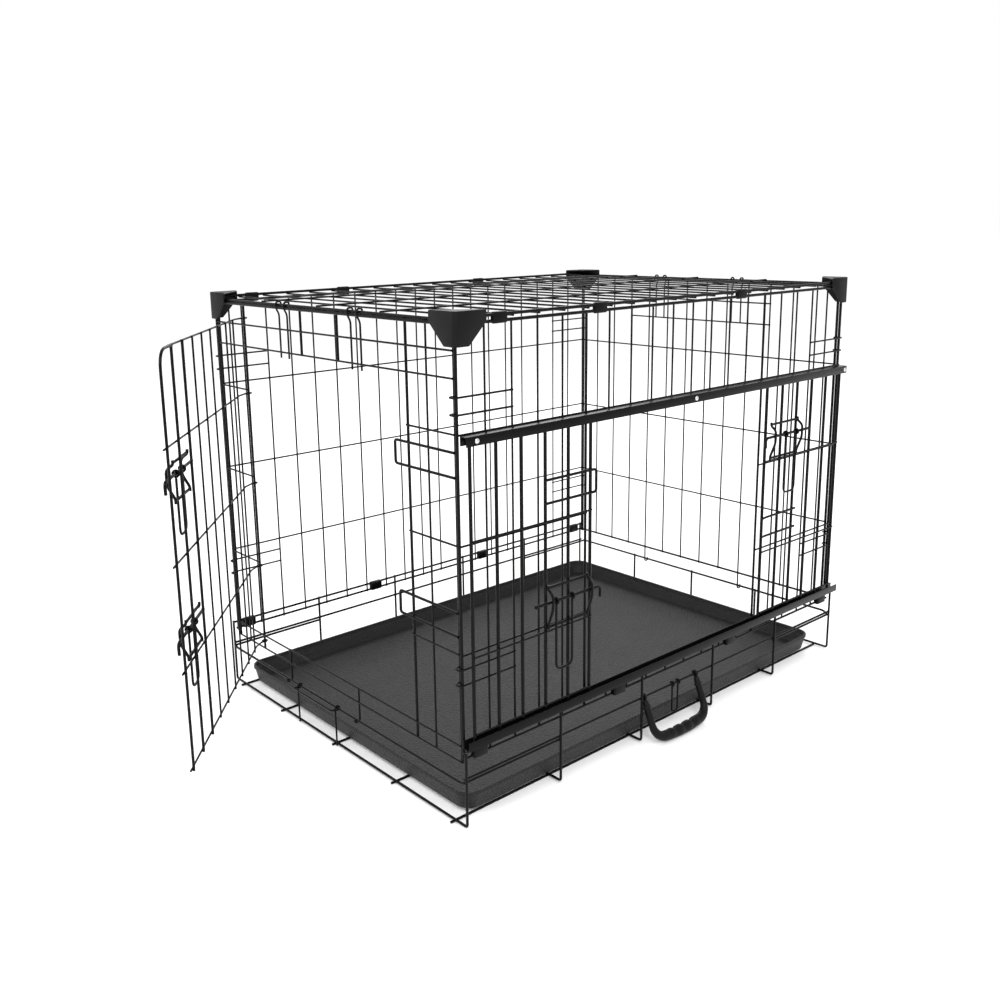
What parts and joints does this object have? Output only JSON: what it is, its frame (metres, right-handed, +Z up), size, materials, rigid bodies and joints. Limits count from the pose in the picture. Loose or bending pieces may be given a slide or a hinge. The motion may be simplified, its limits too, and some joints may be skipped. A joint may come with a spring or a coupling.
{
  "type": "folding wire dog crate",
  "caption": "Folding wire crate for a dog, with a hinged end door, a pair of sliding side doors, wire slide latches, plastic corner caps, a pull-out floor tray and a carry handle.",
  "frame": {"origin": "centre of the underside of the middle floor wire, on the floor under the middle of the crate", "axes": "X runs along the crate away from the hinged end door, -Y faces the sliding doors, Z is up"},
  "size_m": [1.0241, 0.5818, 0.6],
  "materials": {
    "enamel": "black electro-coated wire, semi-gloss",
    "moulded_plastic": "black, fine satin grain",
    "tray_plastic": "charcoal black, pebbled",
    "rivet_steel": "bright rolled rivet heads"
  },
  "bodies": {
    "crate": {"far_side_panel": "enamel", "near_side_panel": "enamel", "door_end_panel": "enamel", "rear_end_panel": "enamel", "top_panel": "enamel", "base_floor": "enamel", "base_wall_near": "enamel", "base_wall_far": "enamel", "base_wall_rear": "enamel", "base_wall_front": "enamel", "near_low_clip_1": "enamel", "near_low_clip_2": "enamel", "near_low_clip_3": "enamel", "near_low_clip_4": "enamel", "far_low_clip_1": "enamel", "far_low_clip_2": "enamel", "far_low_clip_3": "enamel", "far_low_clip_4": "enamel", "near_high_clip_1": "enamel", "near_high_clip_2": "enamel", "near_high_clip_3": "enamel", "far_high_clip_1": "enamel", "far_high_clip_2": "enamel", "far_high_clip_3": "enamel", "corner_cap_front_near": "moulded_plastic", "corner_cap_front_far": "moulded_plastic", "corner_cap_rear_near": "moulded_plastic", "corner_cap_rear_far": "moulded_plastic", "upper_rail": "enamel", "lower_rail": "enamel", "rail_rivet_1": "rivet_steel", "rail_rivet_2": "rivet_steel", "rail_rivet_3": "rivet_steel"},
    "end_door": {"end_door_panel": "enamel", "end_lower_guide": "enamel", "end_upper_guide": "enamel"},
    "left_door": {"left_door_panel": "enamel", "left_door_guide": "enamel"},
    "right_door": {"right_door_panel": "enamel", "right_door_guide": "enamel"},
    "end_lower_bolt": {"end_lower_bolt": "enamel"},
    "end_lower_pull": {"end_lower_pull": "enamel"},
    "end_upper_bolt": {"end_upper_bolt": "enamel"},
    "end_upper_pull": {"end_upper_pull": "enamel"},
    "left_door_bolt": {"left_door_bolt": "enamel"},
    "left_door_pull": {"left_door_pull": "enamel"},
    "right_door_bolt": {"right_door_bolt": "enamel"},
    "right_door_pull": {"right_door_pull": "enamel"},
    "tray": {"tray": "tray_plastic"},
    "tray_stop": {"tray_stop": "enamel"},
    "carry_handle": {"carry_handle": "moulded_plastic"},
    "fold_hook": {"fold_hook": "enamel"}
  },
  "joints": [
    {"name": "end_door_hinge", "type": "hinge", "parent": "crate", "child": "end_door", "pos_m": [-0.3798, 0.19, 0.33], "axis": [0, 0, -1], "range_deg": [-41, 109]},
    {"name": "left_door_slide", "type": "slide", "parent": "crate", "child": "left_door", "axis": [-1, 0, 0], "range_m": [-0.1795, 0]},
    {"name": "right_door_slide", "type": "slide", "parent": "crate", "child": "right_door", "axis": [1, 0, 0], "range_m": [-0.1795, 0]},
    {"name": "left_door_bolt_slide", "type": "slide", "parent": "left_door", "child": "left_door_bolt", "axis": [-1, 0, 0], "range_m": [-0.02, 0]},
    {"name": "left_door_pull_hinge", "type": "hinge", "parent": "left_door_bolt", "child": "left_door_pull", "pos_m": [-0.2345, -0.2862, 0.25], "axis": [-1, 0, 0], "range_deg": [0, 100]},
    {"name": "right_door_bolt_slide", "type": "slide", "parent": "right_door", "child": "right_door_bolt", "axis": [1, 0, 0], "range_m": [-0.02, 0]},
    {"name": "right_door_pull_hinge", "type": "hinge", "parent": "right_door_bolt", "child": "right_door_pull", "pos_m": [0.2345, -0.2862, 0.384], "axis": [-1, 0, 0], "range_deg": [0, 100]},
    {"name": "end_lower_bolt_slide", "type": "slide", "parent": "end_door", "child": "end_lower_bolt", "axis": [0.6561, 0.7547, 0], "range_m": [-0.018, 0]},
    {"name": "end_lower_pull_hinge", "type": "hinge", "parent": "end_lower_bolt", "child": "end_lower_pull", "pos_m": [-0.59296, -0.03479, 0.24], "axis": [0.6561, 0.7547, 0], "range_deg": [0, 100]},
    {"name": "end_upper_bolt_slide", "type": "slide", "parent": "end_door", "child": "end_upper_bolt", "axis": [0.6561, 0.7547, 0], "range_m": [-0.018, 0]},
    {"name": "end_upper_pull_hinge", "type": "hinge", "parent": "end_upper_bolt", "child": "end_upper_pull", "pos_m": [-0.59296, -0.03479, 0.424], "axis": [0.6561, 0.7547, 0], "range_deg": [0, 100]},
    {"name": "tray_slide", "type": "slide", "parent": "crate", "child": "tray", "axis": [-1, 0, 0], "range_m": [0, 0.12]},
    {"name": "tray_stop_hinge", "type": "hinge", "parent": "crate", "child": "tray_stop", "pos_m": [-0.3854, 0.0385, 0.057], "axis": [0, 1, 0], "range_deg": [0, 155]},
    {"name": "carry_handle_hinge", "type": "hinge", "parent": "crate", "child": "carry_handle", "pos_m": [-0.015, -0.2744, 0.064], "axis": [-1, 0, 0], "range_deg": [0, 80]},
    {"name": "fold_hook_hinge", "type": "hinge", "parent": "crate", "child": "fold_hook", "pos_m": [-0.004, -0.2744, 0.064], "axis": [-1, 0, 0], "range_deg": [0, 110]}
  ],
  "couplings": [
    {"joint": "tray_stop_hinge", "follows": "tray_slide", "rad_per_m": 22}
  ]
}
